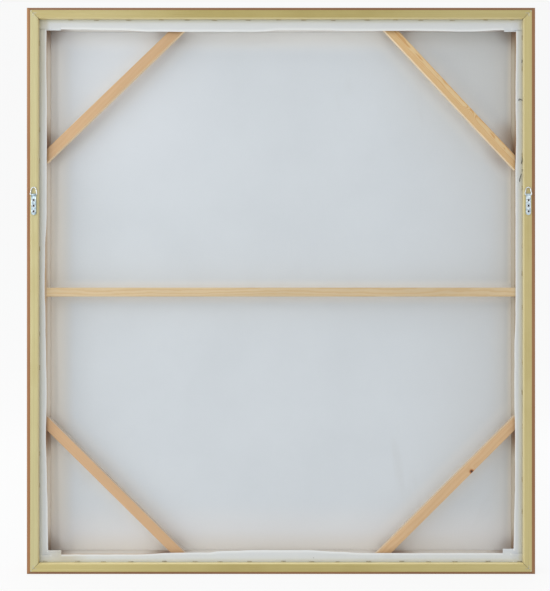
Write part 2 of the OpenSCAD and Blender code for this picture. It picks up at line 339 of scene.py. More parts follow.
def pine_material(node, slope, pith, light, dark, flame=1.0, ring=2.2, depth=0.55, knots=(), flanks=None,
                  sides_painted_light=None):
    """Planed pine. The grain runs along X turned up by slope degrees, pith is how far the rings'
    middle lies from the piece's, in depth and across its face, in millimetres, ring is the width
    of a year's growth, depth how strong the rings are, and each knot is a point, a radius and how
    dark it is.
    A piece's flanks are painted light and shade: the colours of its faces that turn down and up, as
    they are lit. A piece given a colour for its sides is painted pale on all faces that turn away from
    front and back, except beside its back, and has painted shade on them near the tight spots."""
    s = Shader("pine_" + node, roughness=0.62, specular=0.35)
    turn = (0, math.radians(slope), 0)
    low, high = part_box(node)
    middle = Matrix.Rotation(turn[1], 3, "Y") @ ((low + high) / 2)
    laid = s.moved(s.place, turn=turn, offset=-middle)
    swell = s.noise(s.moved(laid, scale=(2.2, 9, 9)), 1.0, 2, 0.5)
    ripple = s.noise(s.moved(laid, scale=(26, 110, 110)), 1.0, 3, 0.6)
    _, y, z = s.split(laid)
    dy = s.minus(y, pith[0] * MM)
    dz = s.minus(z, pith[1] * MM)
    across = s.length(dy, dz)
    across = s.plus(across, s.times(swell, 0.03 * flame))
    across = s.plus(across, s.times(ripple, 0.0024))
    for point, radius, _ in knots:
        across = s.plus(across, s.times(s.near(point, 4 * radius), 1.2 * radius))
    turns = s.math("FRACT", s.times(across, 1 / (ring * MM)))
    late = s.times(s.span(turns, 0.3, 0.84), s.span(turns, 0.88, 1.0, 1.0, 0.0))
    fibre = s.noise(s.moved(laid, scale=(22, 1500, 1500)), 1.0, 4, 0.7)
    cloud = s.noise(s.moved(laid, scale=(5, 26, 26)), 1.0, 3, 0.5)
    colour = s.blend(s.span(cloud, 0.25, 0.75), light, tuple(0.88 * c for c in light[:3]) + (1,))
    colour = s.blend(s.times(late, depth), colour, dark)
    colour = s.blend(s.times(s.span(fibre, 0.4, 0.75), 0.25), colour, dark)
    for point, radius, dark_share in knots:
        rim = s.near(point, 2.4 * radius)
        colour = s.blend(s.times(s.span(rim, 0.05, 0.5), dark_share), colour, tint(176, 112, 62))
        colour = s.blend(s.times(s.span(rim, 0.55, 0.9), dark_share), colour, tint(66, 36, 22))
    facing = s.split(s.add("ShaderNodeNewGeometry").outputs["Normal"])
    turned = s.span(s.size(facing[1]), 0.8, 0.3)
    # Painted light and shade on the faces that turn down and up
    if flanks is not None:
        under, over = flanks
        flank = s.blend(s.span(facing[2], -0.2, 0.2), under, over)
        colour = s.blend(s.times(turned, 0.8), colour, flank)
    # Painted light on the sides: pale, least beside the back
    if sides_painted_light is not None:
        foot = s.span(s.split(s.place)[1], BAR_BACK_Y + 1 * MM, BAR_BACK_Y + 20 * MM, 0.2, 1.0)
        colour = s.blend(s.times(turned, foot), colour, sides_painted_light)
        # Painted shade on the sides in the tight spots between bars and braces
        tight_shade = s.times(near_any(s, TIGHT_SPOTS, 60 * MM), turned)
        colour = s.blend(s.times(tight_shade, 0.85), colour, tint(122, 82, 48))
    s.colour(colour)
    s.roughness(s.span(fibre, 0.3, 0.7, 0.55, 0.7))
    s.normal(s.bump(fibre, 0.00012, 0.5, s.bump(late, 0.00008, 0.4)))
    return s.material


def canvas_material():
    """Primed canvas in a plain weave of thick and thin threads: white gesso in front, bare and
    slightly toned behind, with painted shade and warm bounce light beside the bars and on the
    turned-over edges. Part of the back's toning is painted light and shade that copies how the light
    falls in the photograph, and stays on the cloth in any other light."""
    s = Shader("primed_canvas", roughness=0.86, specular=0.2)
    thread = 0.62 * MM
    x, y, z = s.split(s.place)
    wobble = s.times(s.noise(s.place, 60, 2, 0.5), 0.0012)
    step = math.pi / thread
    warp = s.math("SINE", s.times(s.plus(s.plus(x, y), wobble), step))
    weft = s.math("SINE", s.times(s.plus(s.plus(z, y), wobble), step))
    weave = s.times(warp, weft)
    slub_x = s.noise(s.moved(s.place, scale=(30, 30, 1400)), 1.0, 2, 0.6)
    slub_z = s.noise(s.moved(s.place, scale=(1400, 30, 30)), 1.0, 2, 0.6)
    slub = s.plus(slub_x, slub_z)
    cloud = s.noise(s.place, 5, 4, 0.55)
    back = s.blend(s.span(cloud, 0.2, 0.8), tint(217, 223, 227), tint(212, 218, 222))
    # Painted shade and warm bounce light from the wood along the bars' inner edges
    inside_x = s.minus(BAR_INNER_X, s.size(x))
    inside_z = s.minus(BAR_INNER_Z, s.size(s.minus(z, MIDDLE_Z)))
    near_bar = s.math("MAXIMUM", s.span(inside_x, 0.055, 0.0), s.span(inside_z, 0.045, 0.0))
    back = s.blend(near_bar, back, tint(214, 211, 202))
    # Painted light and shade across the back: paler beside the left, top, right and bottom bars and in the
    # upper left, darker towards the right and in the upper right
    from_left = s.plus(x, BAR_INNER_X)
    from_top = s.minus(MIDDLE_Z + BAR_INNER_Z, z)
    back = s.blend(s.span(from_left, 0.050, 0.002, 0, 0.6), back, tint(242, 238, 230))
    back = s.blend(s.span(from_left, 0.012, 0.000, 0, 0.6), back, tint(246, 238, 224))
    back = s.blend(s.span(from_top, 0.055, 0.002, 0, 0.6), back, tint(247, 249, 249))
    back = s.blend(s.span(x, 0.20, 0.46, 0, 0.7), back, tint(208, 212, 214))
    upper_right = s.near((0.46, CLOTH_FRONT_Y, MIDDLE_Z + 0.5), 0.34)
    back = s.blend(s.times(upper_right, 0.6), back, tint(202, 203, 200))
    back = s.blend(s.span(x, BAR_INNER_X - 12 * MM, BAR_INNER_X, 0, 0.6), back, tint(230, 224, 210))
    upper_left = s.near((-0.35, CLOTH_FRONT_Y, MIDDLE_Z + 0.4), 0.32)
    back = s.blend(s.times(upper_left, 0.6), back, tint(228, 233, 238))
    back = s.blend(s.span(z, MIDDLE_Z - BAR_INNER_Z + 0.11, MIDDLE_Z - BAR_INNER_Z + 0.02, 0, 0.5), back,
                   tint(236, 232, 228))
    # Painted shade in the pocket high beside the right bar and in the tight spots between bars and braces
    pocket = s.near((BAR_INNER_X, CLOTH_FRONT_Y, MIDDLE_Z + 0.30), 0.07)
    back = s.blend(s.times(pocket, 0.8), back, tint(150, 118, 84))
    back = s.blend(s.times(near_any(s, TIGHT_SPOTS, 44 * MM), 0.8), back, tint(146, 118, 84))
    # Painted light beside the crossbar, softening its shadow
    to_crossbar = s.size(s.minus(z, CROSSBAR_Z))
    back = s.blend(s.span(to_crossbar, 30 * MM, 9 * MM, 0, 0.7), back, tint(236, 234, 228))
    for corner_x, corner_z in CORNERS:
        low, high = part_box(brace_name(corner_x, corner_z))
        middle = (low + high) / 2
        slope = math.atan2((high.z - low.z) * -corner_x * corner_z, high.x - low.x)
        lean = s.plus(s.times(s.minus(x, middle.x), -math.sin(slope)),
                      s.times(s.minus(z, middle.z), math.cos(slope)))
        # The light falls past each brace into the corner behind it, more than to its other side
        outward = s.times(lean, corner_z)
        beside = s.times(s.span(outward, 60 * MM, 12 * MM, 0, 0.6), s.span(outward, -8 * MM, 8 * MM))
        back = s.blend(beside, back, tint(238, 236, 230))
        behind = s.times(s.span(outward, -34 * MM, -12 * MM, 0, 0.2), s.span(outward, 8 * MM, -8 * MM))
        back = s.blend(behind, back, tint(238, 236, 230))
    # The turned-over flaps, with a painted highlight along the raw edge and painted shade beside the ledge
    flap = s.span(y, BAR_BACK_Y + 2 * MM, BAR_BACK_Y)
    rise = s.minus(z, MIDDLE_Z)
    back = s.blend(flap, back, tint(220, 224, 226))
    # Painted shade on the right flap, at the lower left and on the upper left flap
    on_right = s.times(flap, s.span(x, 0.46, 0.475))
    back = s.blend(on_right, back, tint(212, 216, 220))
    lower_left = s.near((-0.435, FLAP_Y, MIDDLE_Z - 0.532), 0.06)
    back = s.blend(s.times(flap, s.times(lower_left, 0.9)), back, tint(204, 199, 184))
    on_upper_left = s.times(flap, s.times(s.span(x, -0.465, -0.475), s.span(rise, 0.25, 0.5)))
    back = s.blend(s.times(on_upper_left, 0.8), back, tint(208, 206, 194))
    to_ledge_x = s.minus(s.size(x), LEDGE_HALF_X)
    to_ledge_z = s.minus(s.size(rise), LEDGE_HALF_Z)
    by_side = s.times(s.span(to_ledge_x, -12 * MM, 0), s.span(x, -0.1, 0.1, 0.25, 0.65))
    by_end = s.times(s.span(to_ledge_z, -9 * MM, 0), 0.5)
    by_ledge = s.times(flap, s.math("MAXIMUM", by_side, by_end))
    back = s.blend(by_ledge, back, tint(198, 195, 170))
    # Painted highlight along the flaps' raw edge
    raw_edge = s.add("ShaderNodeAttribute", attribute_name="raw_edge").outputs["Fac"]
    back = s.blend(s.times(raw_edge, 0.8), back, tint(244, 246, 246))
    dots = s.add("ShaderNodeTexVoronoi", feature="F1")
    s.put(dots.inputs["Vector"], s.place)
    dots.inputs["Scale"].default_value = 16
    seen = s.math("LESS_THAN", s.split(dots.outputs["Color"])[0], 0.16)
    spot = s.span(dots.outputs["Distance"], 0.012, 0.022, 1.0, 0.0)
    back = s.blend(s.times(s.times(spot, seen), 0.5), back, tint(120, 112, 100))
    smear = s.span(s.noise(s.moved(s.place, scale=(7, 7, 3)), 1.0, 5, 0.6, 0.8), 0.62, 0.8)
    back = s.blend(s.times(smear, 0.10), back, tint(170, 164, 152))
    in_front = s.span(y, CLOTH_FRONT_Y - 0.3 * MM, CLOTH_FRONT_Y - 0.1 * MM)
    gesso = s.blend(s.span(cloud, 0.3, 0.7), tint(241, 241, 238), tint(237, 237, 233))
    colour = s.blend(in_front, back, gesso)
    # Painted shade in the weave's hollows
    dip = s.times(s.span(weave, -0.2, -1.0), 0.10)
    colour = s.blend(dip, colour, tint(120, 120, 118))
    thick = s.times(s.span(slub, 1.12, 1.4), 0.22)
    colour = s.blend(thick, colour, tint(232, 234, 234))
    s.colour(colour)
    s.normal(s.bump(weave, 0.00016, 0.55, s.bump(slub, 0.0002, 0.5)))
    return s.material


def metal_material(name, bright, dull, roughness, mottle=500):
    s = Shader(name, roughness=roughness, metallic=1.0)
    patch = s.noise(s.place, mottle, 3, 0.6)
    fine = s.noise(s.place, mottle * 6, 2, 0.6)
    s.colour(s.blend(s.span(patch, 0.35, 0.65), dull, bright))
    s.roughness(s.span(patch, 0.3, 0.7, roughness + 0.12, roughness - 0.06))
    s.normal(s.bump(fine, 0.00003, 0.5))
    return s.material


def screw_material(side):
    """Bright screw heads with painted shade in their cross recesses."""
    s = Shader("screw_nickel_" + side, roughness=0.24, metallic=1.0)
    screws = islands("hanger_screws_" + side)
    x, y, z = s.split(s.place)
    top_y = min(middle.y - size.y / 2 for middle, size in screws)
    deep = s.span(y, top_y + 0.45 * MM, top_y + 0.9 * MM)
    off = None
    for middle, _ in screws:
        dx = s.minus(x, middle.x)
        dz = s.minus(z, middle.z)
        r = s.length(dx, dz)
        off = r if off is None else s.math("MINIMUM", off, r)
    # Painted shade filling the deep part of each cross recess
    recess_shade = s.times(deep, s.span(off, 2.1 * MM, 2.7 * MM, 1, 0))
    patch = s.noise(s.place, 700, 3, 0.6)
    metal = s.blend(s.span(patch, 0.35, 0.65), tint(206, 210, 212), tint(236, 238, 238))
    s.colour(s.blend(recess_shade, metal, tint(34, 32, 34)))
    s.roughness(s.span(recess_shade, 0, 1, 0.22, 0.8))
    s.normal(s.bump(s.noise(s.place, 3000, 2), 0.00002, 0.4))
    return s.material


def thread_material():
    s = Shader("dark_thread", roughness=0.9, specular=0.2)
    twist = s.noise(s.moved(s.place, scale=(900, 900, 2600)), 1.0, 2, 0.5)
    s.colour(s.blend(twist, tint(30, 34, 28), tint(66, 68, 58)))
    s.normal(s.bump(twist, 0.0001, 0.6))
    return s.material


def tape_material():
    s = Shader("tape_film", roughness=0.55)
    s.colour(s.blend(s.noise(s.place, 40, 3), tint(214, 210, 196), tint(196, 190, 172)))
    s.normal(s.bump(s.noise(s.place, 600, 2), 0.00005, 0.4))
    return s.material


# ---------------------------------------------------------------------------------------------
# Pieces
# ---------------------------------------------------------------------------------------------
def finish_piece(obj, body, slot, material, *nodes):
    obj.data.materials.clear()
    obj.data.materials.append(material)
    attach(obj, body)
    if nodes:
        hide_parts(*nodes)
    return obj


def shade(mesh, angle_deg=35):
    for face in mesh.polygons:
        face.use_smooth = True
    bm = bmesh.new()
    bm.from_mesh(mesh)
    for edge in bm.edges:
        turned = len(edge.link_faces) == 2 and edge.calc_face_angle(0) > math.radians(angle_deg)
        edge.smooth = not turned
    bm.to_mesh(mesh)
    bm.free()


def object_from(bm, name, angle_deg):
    mesh = bpy.data.meshes.new(name)
    bm.to_mesh(mesh)
    bm.free()
    shade(mesh, angle_deg)
    obj = bpy.data.objects.new(name, mesh)
    bpy.context.scene.collection.objects.link(obj)
    return obj


def skin_rings(bm, rings):
    """Faces between each closed ring of points and the next."""
    for a, b in zip(rings, rings[1:]):
        for i in range(len(a)):
            j = (i + 1) % len(a)
            bm.faces.new((a[i], a[j], b[j], b[i]))


def softened(node, name, width, segments=2, angle_deg=25):
    """A copy of a CAD node with its sharp edges rounded, as planed and sanded wood has them."""
    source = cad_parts[node]
    mesh = source.data.copy()
    mesh.name = name
    bm = bmesh.new()
    bm.from_mesh(mesh)
    bmesh.ops.remove_doubles(bm, verts=bm.verts, dist=0.00001)
    bmesh.ops.dissolve_limit(bm, angle_limit=math.radians(1), verts=bm.verts, edges=bm.edges)
    sharp = [e for e in bm.edges if len(e.link_faces) == 2
             and e.calc_face_angle(0) > math.radians(angle_deg)]
    bmesh.ops.bevel(bm, geom=sharp, offset=width, offset_type="OFFSET", segments=segments,
                    profile=0.6, affect="EDGES", clamp_overlap=True)
    bmesh.ops.recalc_face_normals(bm, faces=bm.faces)
    bm.to_mesh(mesh)
    bm.free()
    shade(mesh)
    obj = bpy.data.objects.new(name, mesh)
    bpy.context.scene.collection.objects.link(obj)
    return obj


def make_frame():
    for side in RAIL_SIDES:
        rail = softened("frame_rail_" + side, "gold_rail_" + side, 0.35 * MM)
        finish_piece(rail, "frame", "frame_gold", GOLD[side], "frame_rail_" + side)
        facing = softened("frame_facing_" + side, "brown_facing_" + side, 0.3 * MM)
        finish_piece(facing, "frame", "frame_brown", BROWN[side], "frame_facing_" + side)


def make_stretcher():
    for side in RAIL_SIDES:
        bar = softened("stretcher_bar_" + side, "pine_bar_" + side, 0.4 * MM)
        finish_piece(bar, "frame", "pine", BAR_PINE[side], "stretcher_bar_" + side)
    bar = softened("crossbar", "pine_crossbar", 0.8 * MM, 3)
    finish_piece(bar, "frame", "pine", PINE["crossbar"], "crossbar")
    for corner in ("top_left", "top_right", "bottom_left", "bottom_right"):
        brace = softened("brace_" + corner, "pine_brace_" + corner, 0.7 * MM, 3)
        finish_piece(brace, "frame", "pine", PINE[corner], "brace_" + corner)


# ---------------------------------------------------------------------------------------------
# The canvas: one sheet, wrapped round the bars and folded flat on their backs
# ---------------------------------------------------------------------------------------------
FLAP_SIDE = 19.3 * MM       # width of a side flap on the back of its bar
FLAP_END = 28.0 * MM        # width of the top and bottom flaps
FLAP_ROWS = 9
PITCH_ALONG = 6.0 * MM

# How far each flap's hand-cut edge strays outwards from its common line, in millimetres, at places
# along it that run from -1 at the left or lower corner to 1 at the right or upper one. The edges
# were measured in the photograph, and the measures thinned and rounded.
STRAY = {
    "top": ((-1, 3.2), (-0.84, 2.8), (-0.65, 1.2), (-0.54, -1.9), (-0.1, -2.1), (0, 1.4), (0.19, 1.5),
            (0.24, 0.1), (0.63, 0), (0.72, -1.6), (0.79, -1.6), (0.88, 1.2), (1, 1.0)),
    "bottom": ((-1, 7.2), (-0.58, 7.0), (-0.45, 3.6), (-0.3, 3.2), (-0.24, 0.2), (-0.1, -1.7), (0.1, -1.9),
               (0.24, 1.8), (0.33, 4.2), (1, 4.2)),
    "left": ((-1, -3.8), (-0.8, -2.6), (-0.7, -1.1), (-0.52, 1.1), (-0.4, -0.6), (-0.1, 1.8), (0.01, 3.4),
             (0.16, 2.4), (0.27, -0.6), (0.7, -1.0), (0.8, 0), (1, -0.2)),
    "right": ((-1, -4.8), (-0.86, -3.4), (-0.72, -1.4), (-0.5, -1.2), (-0.42, -2.5), (-0.2, -2.3),
              (-0.1, -0.3), (0.45, -0.3), (0.55, 1.0), (0.7, -0.2), (0.93, 1.0), (1, 1.0)),
}


def eased(points, at):
    """The value at a place between points, passing smoothly from each to the next."""
    for (x0, v0), (x1, v1) in zip(points, points[1:]):
        if at <= x1:
            f = min(1, max(0, (at - x0) / (x1 - x0)))
            return v0 + (v1 - v0) * f * f * (3 - 2 * f)
    return points[-1][1]


def ramp(value, low, high):
    f = min(1, max(0, (value - low) / (high - low)))
    return f * f * (3 - 2 * f)


def flap_lift(side, inset, along, f):
    """How far a flap stands off the bar's back, at an inset from its fold and a share f of its width."""
    end = CLOTH_Z if side in ("left", "right") else CLOTH_X
    row = RAIL_SIDES.index(side)
    wave = noise.noise(Vector((along * 9, inset * 30, row * 3.7)))
    lift = 0.00016 * ramp(f, 0.1, 0.4) * (1 + wave)
    # Small swells between staples, and a slightly curled raw edge
    swell = 0.5 + 0.5 * noise.noise(Vector((along * 14, 5.1, row)))
    lift += 0.0005 * ramp(f, 0.55, 1.0) * swell
    if side in ("top", "bottom"):
        over = ramp(abs(along), end - 0.030, end - 0.022)
        lift += over * (CLOTH_T * ramp(f, 0.0, 0.12) + 0.0014 * ramp(f, 0.5, 1.0))
    return lift


def make_cloth():
    bm = bmesh.new()
    raw_edge = bm.verts.layers.float.new("raw_edge")
    quarter = [math.radians(22.5 * i) for i in range(5)]
    rows = [(CLOTH_BEND * (1 - math.sin(q)), CLOTH_FRONT_Y - CLOTH_BEND * (1 - math.cos(q))) for q in quarter]
    rows += [(0.0, CLOTH_FRONT_Y + (FLAP_Y - CLOTH_FRONT_Y) * f) for f in (0.25, 0.5, 0.75)]
    rows += [(CLOTH_BEND * (1 - math.cos(q)), FLAP_Y + CLOTH_BEND * (1 - math.sin(q))) for q in quarter]

    def steps(half):
        count = round(2 * half / PITCH_ALONG)
        return [2 * i / count - 1 for i in range(count + 1)]

    cols_x, cols_z = steps(CLOTH_X), steps(CLOTH_Z)

    def skin(grid):
        for a, b in zip(grid, grid[1:]):
            for i in range(len(a) - 1):
                bm.faces.new((a[i], a[i + 1], b[i + 1], b[i]))

    def at(x, y, z):
        return bm.verts.new((x, y, MIDDLE_Z + z))

    face_x, face_z = CLOTH_X - CLOTH_BEND, CLOTH_Z - CLOTH_BEND
    skin([[at(g * face_x, CLOTH_FRONT_Y, h * face_z) for g in cols_x] for h in cols_z])
    for side in RAIL_SIDES:
        level = side in ("top", "bottom")
        sign = 1 if side in ("top", "right") else -1
        out, end, cols = (CLOTH_Z, CLOTH_X, cols_x) if level else (CLOTH_X, CLOTH_Z, cols_z)
        width = FLAP_END if level else FLAP_SIDE

        def spot(inset, y, along):
            return at(along, y, sign * (out - inset)) if level else at(sign * (out - inset), y, along)

        grid = [[spot(inset, y, g * (end - inset)) for g in cols] for inset, y in rows]
        for k in range(1, FLAP_ROWS + 1):
            f = k / FLAP_ROWS
            row = []
            for g in cols:
                along = g * (end - CLOTH_BEND)
                stray = eased(STRAY[side], g) * MM
                stray += 0.00035 * noise.noise(Vector((along * 60, 1.3, out)))
                far = width - stray
                inset = CLOTH_BEND + f * (far - CLOTH_BEND)
                vert = spot(inset, FLAP_Y - flap_lift(side, inset, along, f), along)
                tucked = ramp(abs(along), end - 0.032, end - 0.024) if level else 0
                vert[raw_edge] = ramp(f, 0.75, 1.0) * (1 - tucked)
                row.append(vert)
            grid.append(row)
        skin(grid)
    bmesh.ops.remove_doubles(bm, verts=bm.verts, dist=0.00001)
    bmesh.ops.recalc_face_normals(bm, faces=bm.faces)
    bm.faces.ensure_lookup_table()
    front = max(bm.faces, key=lambda face: face.calc_center_median().y)
    if front.normal.y < 0:
        bmesh.ops.reverse_faces(bm, faces=bm.faces)
    mesh = bpy.data.meshes.new("canvas_sheet")
    bm.to_mesh(mesh)
    bm.free()
    sheet = solid_sheet(mesh, "canvas_sheet", CLOTH_T)
    finish_piece(sheet, "frame", "primed_canvas", CLOTH, "canvas")
    return sheet


def solid_sheet(mesh, name, thickness):
    """A closed solid made by thickening a single surface inwards."""
    single = bpy.data.objects.new(name, mesh)
    bpy.context.scene.collection.objects.link(single)
    thick = single.modifiers.new("thick", "SOLIDIFY")
    thick.thickness = thickness
    thick.offset = -1
    thick.use_even_offset = False
    graph = bpy.context.evaluated_depsgraph_get()
    made = bpy.data.meshes.new_from_object(single.evaluated_get(graph))
    made.name = name
    single.modifiers.clear()
    single.data = made
    bpy.data.meshes.remove(mesh)
    shade(made, 50)
    return single


# Corner tabs: the folded-in cloth that shows past the end flaps. Each has its corner's signs along X
# and Z, its nearer and further end along X from the middle, and how far in from the cloth's outer
# face each layer reaches, in millimetres
TABS = (
    (-1, 1, 443.5, 472.5, (26.8, 27.6)),
    (1, 1, 449.5, 473.5, (27.4, 30.2)),
    (-1, -1, 443.0, 486.0, (25.2, 29.6)),
    (1, -1, 447.0, 480.5, (28.6, 32.6)),
)


def make_corner_folds():
    columns, lines = 10, 8
    start = 6.0                  # where each layer begins, in from the cloth's outer face, in mm
    lowest, apart = 0.45, 0.42   # the first layer's height off the bar's back and each next step, in mm
    bm = bmesh.new()
    for sx, sz, near, far, reaches in TABS:
        for layer, reach in enumerate(reversed(reaches)):
            y = BAR_BACK_Y - (lowest + apart * layer) * MM
            made = []
            for j in range(lines + 1):
                f = j / lines
                z = CLOTH_Z - (start + (reach - start) * f) * MM
                row = []
                for i in range(columns + 1):
                    x = (near + (far - near) * i / columns + 0.25 * noise.noise(Vector((i, j, layer)))) * MM
                    crinkle = noise.noise(Vector((i * 0.4, j * 0.4, sx + sz)))
                    curl = 0.0004 * ramp(f, 0.6, 1) + 0.0002 * crinkle
                    edge = 0.0003 * noise.noise(Vector((i * 0.5, 2.2, reach))) * f
                    row.append(bm.verts.new((sx * x, y - curl, MIDDLE_Z + sz * (z + edge))))
                made.append(row)
            for a, b in zip(made, made[1:]):
                for i in range(columns):
                    bm.faces.new((a[i], a[i + 1], b[i + 1], b[i]))
    bmesh.ops.recalc_face_normals(bm, faces=bm.faces)
    for face in bm.faces:
        if face.normal.y > 0:
            face.normal_flip()
    mesh = bpy.data.meshes.new("canvas_corner_folds")
    bm.to_mesh(mesh)
    bm.free()
    return finish_piece(solid_sheet(mesh, "canvas_corner_folds", 0.35 * MM), "frame", "primed_canvas", CLOTH)


# The corners of flat wire's section, as shares of half its width and half its thickness
WIRE_SECTION = ((-1, -0.6), (-0.6, -1), (0.6, -1), (1, -0.6), (1, 0.6), (0.6, 1), (-0.6, 1), (-1, 0.6))


def make_staples():
    """Flat-wire staples: a crown with rounded shoulders, its legs going into the bar."""
    bm = bmesh.new()
    wire_w, wire_t = 1.2 * MM, 0.5 * MM
    for k, (middle, size) in enumerate(islands("canvas_staples")):
        level = size.x > size.z
        reach = max(size.x, size.z)
        # The crown's profile, from one leg's foot over the shoulders to the other's
        half, bend = reach / 2 - wire_t / 2, 0.9 * MM
        deep = size.y - wire_t
        line = [(-half, deep), (-half, bend)]
        line += [(-half + bend * (1 - math.cos(q)), bend * (1 - math.sin(q)))
                 for q in (math.radians(30), math.radians(60), math.radians(90))]
        line += [(-x, y) for x, y in reversed(line)]
        tilt = 0.06 * noise.noise(Vector((k * 1.7, 0, 0)))
        crown_y = middle.y - size.y / 2 + wire_t / 2
        rings = []
        for i, (u, v) in enumerate(line):
            before, after = line[max(0, i - 1)], line[min(len(line) - 1, i + 1)]
            run = Vector((after[0] - before[0], after[1] - before[1])).normalized()
            ring = []
            for a, b in WIRE_SECTION:
                across = a * wire_w / 2
                lift = b * wire_t / 2
                pu, pv = u - run.y * lift, v + run.x * lift
                px, pz = (pu, across) if level else (across, pu)
                place = (middle.x + px - tilt * pz, crown_y + pv, middle.z + pz + tilt * px)
                ring.append(bm.verts.new(place))
            rings.append(ring)
        skin_rings(bm, rings)
        bm.faces.new(rings[0][::-1])
        bm.faces.new(rings[-1])
    bmesh.ops.recalc_face_normals(bm, faces=bm.faces)
    finish_piece(object_from(bm, "staple_wires", 40), "frame", "bare_steel", STEEL, "canvas_staples")


# Dark ends of thread caught on the right flap: each a line of points in X, Z above the middle, and
# height off the flap, in millimetres
THREADS = (
    ((485.6, 465.5, 0.7), (485.7, 462.6, 1.3), (485.2, 459.6, 0.7)),
    ((486.2, 384.0, 0.7), (483.0, 385.4, 1.3), (479.8, 386.6, 1.0), (479.4, 383.0, 0.7)),
    ((486.0, 268.0, 0.7), (485.6, 262.0, 1.6), (484.4, 256.4, 0.8), (484.9, 260.0, 1.0), (486.0, 264.5, 0.7)),
    ((485.8, 245.0, 0.7), (485.9, 243.0, 1.0), (485.5, 241.0, 0.7)),
    ((484.2, 236.0, 0.5), (482.9, 231.0, 0.9), (481.2, 226.0, 0.9), (480.5, 219.8, 0.5)),
)


def curve_through(points, fine):
    """Points on a smooth curve that passes through all of these, fine to each stretch."""
    bends = [points[0]] + points + [points[-1]]
    path = []
    for a, b, c, d in zip(bends, bends[1:], bends[2:], bends[3:]):
        for j in range(fine):
            f = j / fine
            path.append(0.5 * (2 * b + (c - a) * f + (2 * a - 5 * b + 4 * c - d) * f ** 2
                               + (3 * b - a - 3 * c + d) * f ** 3))
    return path + [points[-1]]


def make_threads():
    thread_r, sides = 0.65 * MM, 8
    bm = bmesh.new()
    for line in THREADS:
        points = [Vector((x * MM, FLAP_Y - height * MM, MIDDLE_Z + z * MM)) for x, z, height in line]
        path = curve_through(points, 5)
        rings = []
        for i, spot in enumerate(path):
            run = (path[min(len(path) - 1, i + 1)] - path[max(0, i - 1)]).normalized()
            side_way = run.cross(Vector((0, 1, 0))).normalized()
            up = side_way.cross(run)
            r = thread_r * (0.85 + 0.3 * noise.noise(spot * 900))
            angles = [2 * math.pi * k / sides for k in range(sides)]
            around = [r * (math.cos(a) * side_way + math.sin(a) * up) for a in angles]
            rings.append([bm.verts.new(spot + step) for step in around])
        skin_rings(bm, rings)
        bm.faces.new(rings[0][::-1])
        bm.faces.new(rings[-1])
    bmesh.ops.recalc_face_normals(bm, faces=bm.faces)
    finish_piece(object_from(bm, "thread_ends", 60), "frame", "primed_canvas", thread_material())


def make_screws(side):
    """Pan-head screws with a cross recess pressed into a domed head."""
    head_r, head_h, recess = 3.1 * MM, 1.7 * MM, 1.5 * MM
    ball = 1.3 * head_r
    bm = bmesh.new()
    for k, (middle, size) in enumerate(islands("hanger_screws_" + side)):
        top_y = middle.y - size.y / 2
        twist = math.radians(24 + 31 * k)
        rings = []
        spokes, hoops = 64, 22
        for j in range(hoops + 1):
            r = head_r * (j / hoops)
            ring = []
            for i in range(spokes):
                a = 2 * math.pi * i / spokes
                u, v = r * math.cos(a - twist), r * math.sin(a - twist)
                dome = ball - math.sqrt(ball * ball - r * r)
                # The recess's two arms, sloping at their ends and along their sides
                arm = 0
                for p, q in ((u, v), (v, u)):
                    arm = max(arm, ramp(abs(p), 2.2 * MM, 1.4 * MM) * ramp(abs(q), 0.85 * MM, 0.5 * MM))
                sunk = recess * arm * (1 - 0.25 * r / head_r)
                ring.append(bm.verts.new((middle.x + r * math.cos(a), top_y + dome + sunk,
                                          middle.z + r * math.sin(a))))
            rings.append(ring)
        # The rim, the underside and the shank down to its point
        profile = ((head_r, head_h), (1.5 * MM, head_h), (1.5 * MM, size.y - 2 * MM), (0.2 * MM, size.y))
        for r, y in profile:
            rings.append([bm.verts.new((middle.x + r * math.cos(2 * math.pi * i / spokes), top_y + y,
                                        middle.z + r * math.sin(2 * math.pi * i / spokes)))
                          for i in range(spokes)])
        skin_rings(bm, rings)
        bm.faces.new(rings[-1])
    bmesh.ops.remove_doubles(bm, verts=bm.verts, dist=0.000001)
    bmesh.ops.recalc_face_normals(bm, faces=bm.faces)
    screws = object_from(bm, "pan_screws_" + side, 45)
    finish_piece(screws, "frame", "zinc_steel", SCREW[side], "hanger_screws_" + side)


def paint_cad(node, material):
    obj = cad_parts[node]
    obj.data.materials.clear()
    obj.data.materials.append(material)
    for face in obj.data.polygons:
        face.use_smooth = True


# ---------------------------------------------------------------------------------------------
# Studio
# ---------------------------------------------------------------------------------------------
def make_backdrop():
    """A pale floor that rises behind the object in one sweep."""
    width, front, back, height, bend = 30.0, -7.0, 2.6, 6.0, 1.2
    line = [(front, 0.0)]
    for i in range(17):
        a = math.radians(90 * i / 16)
        line.append((back - bend + bend * math.sin(a), bend - bend * math.cos(a)))
    line.append((back, height))
    mesh = bpy.data.meshes.new("backdrop")
    points = [(x, y, z) for y, z in line for x in (-width / 2, width / 2)]
    faces = [(2 * i, 2 * i + 1, 2 * i + 3, 2 * i + 2) for i in range(len(line) - 1)]
    mesh.from_pydata(points, [], faces)
    for face in mesh.polygons:
        face.use_smooth = True
    obj = bpy.data.objects.new("backdrop", mesh)
    bpy.context.scene.collection.objects.link(obj)
    s = Shader("backdrop_paper", roughness=0.9, specular=0.1)
    s.colour(s.blend(s.noise(s.place, 2, 2), (0.09, 0.09, 0.09, 1), (0.10, 0.10, 0.10, 1)))
    s.surface.inputs["Emission Color"].default_value = (1, 1, 1, 1)
    s.surface.inputs["Emission Strength"].default_value = 0.862
    mesh.materials.append(s.material)
    obj.visible_diffuse = False


